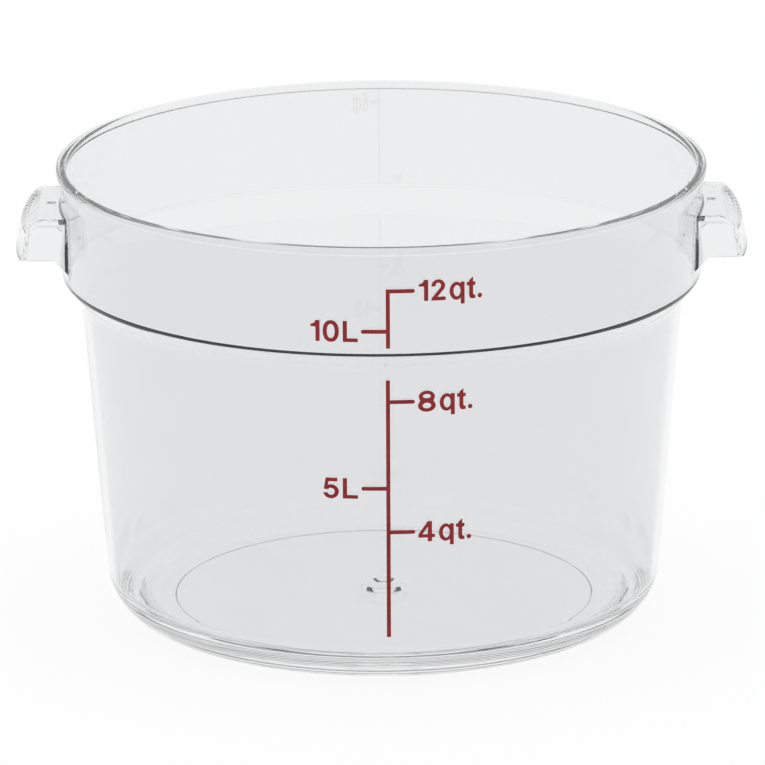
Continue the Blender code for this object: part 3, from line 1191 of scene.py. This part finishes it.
@dataclass
class PrintedScale:
    """The printed volume scale: two stretches of line with ticks, numbers and units."""

    tub: Tub
    finish: bpy.types.Material
    turn: float = math.radians(1.0)
    width: float = 1.9 * MM
    reach: float = 12.6 * MM
    lift: float = 0.05 * MM
    film: float = 0.05 * MM
    cap_height: float = 10.2 * MM
    collar_shares: tuple[float, ...] = (0.400, 0.769)
    body_shares: tuple[float, ...] = (0.909, 0.637, 0.499)
    tick_cells: int = 8
    tip_points: int = 11
    weld: float = 0.002 * MM
    sharp_angle: float = 40.0
    lettering: Lettering = field(default_factory=Lettering)

    def lines(self) -> list[InkLine]:
        """Place the marks on the collar and on the body.

        Returns:
            The two stretches with their marks, each as long as the CAD scale's own box is high.
        """
        tub = self.tub
        collar = tub.height - np.array(self.collar_shares) * tub.collar_height
        body = np.array(self.body_shares) * tub.corners["shoulder_foot"][1]
        upper = [
            Mark(12, Unit.QUARTS, collar[0], label_start=14.4 * MM, label_width=30.1 * MM),
            Mark(10, Unit.LITRES, collar[1], label_start=14.0 * MM, label_width=22.3 * MM),
        ]
        lower = [
            Mark(8, Unit.QUARTS, body[0], label_start=14.0 * MM, label_width=26.0 * MM),
            Mark(5, Unit.LITRES, body[1], label_start=14.2 * MM, label_width=16.5 * MM),
            Mark(4, Unit.QUARTS, body[2], label_start=14.0 * MM, label_width=25.3 * MM),
        ]
        upper_low, upper_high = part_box("scale_upper")
        lower_low, lower_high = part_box("scale_lower")
        return [
            InkLine(
                "ink_upper", "scale_upper", upper_low[2], upper_high[2], upper, tub.collar_radius
            ),
            InkLine("ink_lower", "scale_lower", lower_low[2], lower_high[2], lower, tub.body_radius),
        ]

    def wrap(self, across: float, z: float, radius_at: Callable[[float], float]) -> Place:
        """Place a flat point of the print on the wall.

        Args:
            across: Distance to the right of the line's middle.
            z: Height.
            radius_at: The wall's outside radius at a height.

        Returns:
            The point, just off the wall.
        """
        radius = radius_at(z) + self.lift
        angle = self.turn + across / radius
        return radius * math.sin(angle), -radius * math.cos(angle), z

    def line_cells(self, line: InkLine) -> list[Outline]:
        """Draw a stretch of line flat.

        Args:
            line: The stretch.

        Returns:
            Outlines of the line and its ticks, which share their corners.
        """
        half = self.width / 2
        levels = {line.foot, line.top}
        for mark in line.marks:
            levels |= {mark.z - half, min(mark.z + half, line.top)}
        ordered = sorted(levels)
        cells = [
            [(-half, low), (half, low), (half, high), (-half, high)]
            for low, high in zip(ordered, ordered[1:])
            if high - low > TINY
        ]
        angles = np.linspace(-math.pi / 2, math.pi / 2, self.tip_points)
        inner = np.linspace(half, self.reach - half, self.tick_cells + 1)
        for mark in line.marks:
            way = mark.unit.direction
            top, bottom = min(mark.z + half, line.top), mark.z - half
            for near, far in zip(inner, inner[1:]):
                cell = [(near, bottom), (far, bottom), (far, top), (near, top)]
                cells.append([(way * x, y) for x, y in cell][::way])
            middle, tall = (top + bottom) / 2, (top - bottom) / 2
            tip = [(inner[-1] + half * math.cos(a), middle + tall * math.sin(a)) for a in angles]
            cells.append([(way * x, y) for x, y in tip][::way])
        return cells

    def film_of(self, name: str, shape: bmesh.types.BMesh) -> bpy.types.Object:
        """Give a wrapped print its thickness and finish.

        Args:
            name: The piece's name.
            shape: The print as one skin.

        Returns:
            The finished piece.
        """
        obj = linked(name, shape)
        skin = obj.modifiers.new("film", "SOLIDIFY")
        skin.thickness = self.film
        skin.offset = 1.0
        settle(obj)
        smooth(obj, self.sharp_angle)
        obj.data.materials.clear()
        obj.data.materials.append(self.finish)
        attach(obj, "root")
        return obj

    def build_line(self, line: InkLine) -> bpy.types.Object:
        """Wrap one stretch of line with its ticks.

        Args:
            line: The stretch.

        Returns:
            The piece, in place of its CAD solid.
        """
        shape = bmesh.new()
        for cell in self.line_cells(line):
            shape.faces.new([shape.verts.new(self.wrap(x, z, line.radius_at)) for x, z in cell])
        bmesh.ops.remove_doubles(shape, verts=shape.verts, dist=self.weld)
        obj = self.film_of(line.name, shape)
        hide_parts(line.node)
        return obj

    def build_label(self, mark: Mark, radius_at: Callable[[float], float]) -> bpy.types.Object:
        """Set a mark's number and unit, fit it to its place and wrap it.

        Args:
            mark: The mark.
            radius_at: The wall's outside radius at a height.

        Returns:
            The label, left out of what glossy rays see.
        """
        points, triangles = self.lettering.row(f"{mark.number}{mark.unit.text}")
        span = max(x for x, _ in points)
        way = mark.unit.direction
        start = mark.label_start if way > 0 else -mark.label_start - mark.label_width
        shape = bmesh.new()
        verts = []
        for x, y in points:
            across = start + x / span * mark.label_width
            z = mark.z + (y - 0.5) * self.cap_height
            verts.append(shape.verts.new(self.wrap(across, z, radius_at)))
        for corners in triangles:
            face = shape.faces.new([verts[corner] for corner in corners])
            face.normal_update()
            middle = face.calc_center_median()
            if face.normal.dot(Vector((middle.x, middle.y, 0.0))) < 0:
                face.normal_flip()
        label = self.film_of(mark.name, shape)
        label.visible_glossy = False
        return label

    def build(self) -> list[bpy.types.Object]:
        """Print the whole scale.

        Returns:
            Each stretch of line, followed by its labels.
        """
        pieces = []
        for line in self.lines():
            pieces.append(self.build_line(line))
            pieces.extend(self.build_label(mark, line.radius_at) for mark in line.marks)
        return pieces


@dataclass
class PhotoCamera:
    """The long-lens camera that was fitted to the photograph's outline."""

    focal_pixels: float = 10262.0
    distance: float = 4.9226
    elevation: float = math.radians(16.25)
    target_z: float = 112.2 * MM
    roll: float = math.radians(0.35)
    sensor: float = 36.0
    clip_end: float = 100.0

    def build(self) -> bpy.types.Object:
        """Place the camera.

        Returns:
            The scene's camera.
        """
        data = bpy.data.cameras.new("camera")
        data.sensor_width = self.sensor
        data.lens = self.focal_pixels / IMAGE_SIZE * self.sensor
        data.clip_end = self.clip_end
        camera = placed("camera", data)
        back = Vector((0.0, -math.cos(self.elevation), math.sin(self.elevation)))
        camera.location = Vector((0.0, 0.0, self.target_z)) + self.distance * back
        aim = back.to_track_quat("Z", "Y").to_matrix().to_4x4()
        camera.matrix_world = (
            Matrix.Translation(camera.location) @ aim @ Matrix.Rotation(-self.roll, 4, "Z")
        )
        bpy.context.scene.camera = camera
        return camera


@dataclass
class Studio:
    """Pale floor, even pale sky and one soft lamp, seen against white.

    Camera rays, glossy rays and rays through the plastic are shown a white floor and a white
    surround. The white share of the floor leaves a little of the lit floor for camera rays, and
    with it the object's shadow.
    """

    floor_size: float = 40.0
    floor_drop: float = 0.2 * MM
    floor_colour: Colour = (0.80, 0.80, 0.80)
    floor_roughness: float = 0.9
    floor_gloss: float = 0.1
    white_share: float = 0.92
    sky_colour: Colour = (0.95, 0.95, 0.96)
    bounces: int = 24
    lamp_power: float = 21.0
    lamp_size: float = 2.6
    lamp_height: float = 2.6

    def build_floor(self) -> bpy.types.Object:
        """Lay the floor, just below the foot.

        Returns:
            The floor, a stage piece.
        """
        shape = bmesh.new()
        half = self.floor_size / 2
        corners = [(-half, -half), (half, -half), (half, half), (-half, half)]
        shape.faces.new([shape.verts.new((x, y, -self.floor_drop)) for x, y in corners])
        floor = linked("studio_floor", shape)
        floor.data.materials.append(self.floor_material())
        return floor

    def floor_material(self) -> bpy.types.Material:
        """Build the floor's material.

        Returns:
            A lit pale floor, mostly white to the rays that show the background.
        """
        material, graph, shader = new_material("studio_floor")
        inputs = {
            "Base Color": (*self.floor_colour, 1.0),
            "Roughness": self.floor_roughness,
            "Specular IOR Level": self.floor_gloss,
        }
        graph.feed(shader, inputs)
        lit = Value(graph, shader.outputs[0])
        white = graph.node("ShaderNodeEmission", {}, {"Color": (*WHITE, 1.0)})
        graph.finish(graph.blend(graph.seen() * self.white_share, lit, white))
        return material

    def build_world(self) -> bpy.types.World:
        """Surround the object.

        Returns:
            A world that is white to the rays that show the background, and an even pale sky to
            every other ray.
        """
        world = bpy.data.worlds.new("studio")
        world.use_nodes = True
        bpy.context.scene.world = world
        graph = Graph(world.node_tree)
        colour = graph.tinted(graph.seen(), self.sky_colour, WHITE)
        graph.feed(world.node_tree.nodes["Background"], {"Color": colour})
        return world

    def build_lamp(self) -> bpy.types.Object:
        """Hang one soft square lamp over the object.

        Returns:
            The lamp, which doesn't show in the plastic.
        """
        data = bpy.data.lights.new("lamp_over", "AREA")
        data.shape = "SQUARE"
        data.size = self.lamp_size
        data.energy = self.lamp_power
        lamp = placed("lamp_over", data)
        lamp.location = (0.0, 0.0, self.lamp_height)
        lamp.visible_glossy = False
        lamp.visible_transmission = False
        return lamp

    def build(self) -> None:
        """Set up the whole studio, with enough bounces for light trapped in the clear wall."""
        scene = bpy.context.scene
        scene.view_settings.view_transform = "Standard"
        scene.cycles.max_bounces = self.bounces
        scene.cycles.glossy_bounces = self.bounces
        scene.cycles.transmission_bounces = self.bounces
        self.build_floor()
        self.build_world()
        self.build_lamp()


def report(piece: bpy.types.Object) -> None:
    """Log one finished piece."""
    log.info("%s: %d faces", piece.name, len(piece.data.polygons))


def main() -> None:
    """Build the camera, the studio and every piece of the container."""
    logging.basicConfig(level=logging.INFO, format="%(message)s")
    PhotoCamera().build()
    Studio().build()
    low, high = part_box("container_body")
    tub = Tub(height=high[2], rim_radius=(high[0] - low[0]) / 2)
    report(ClearMoulding(tub, ClearPlastic().make()).build())
    for piece in PrintedScale(tub, PrintedInk().make()).build():
        report(piece)


if __name__ == "__main__":
    main()
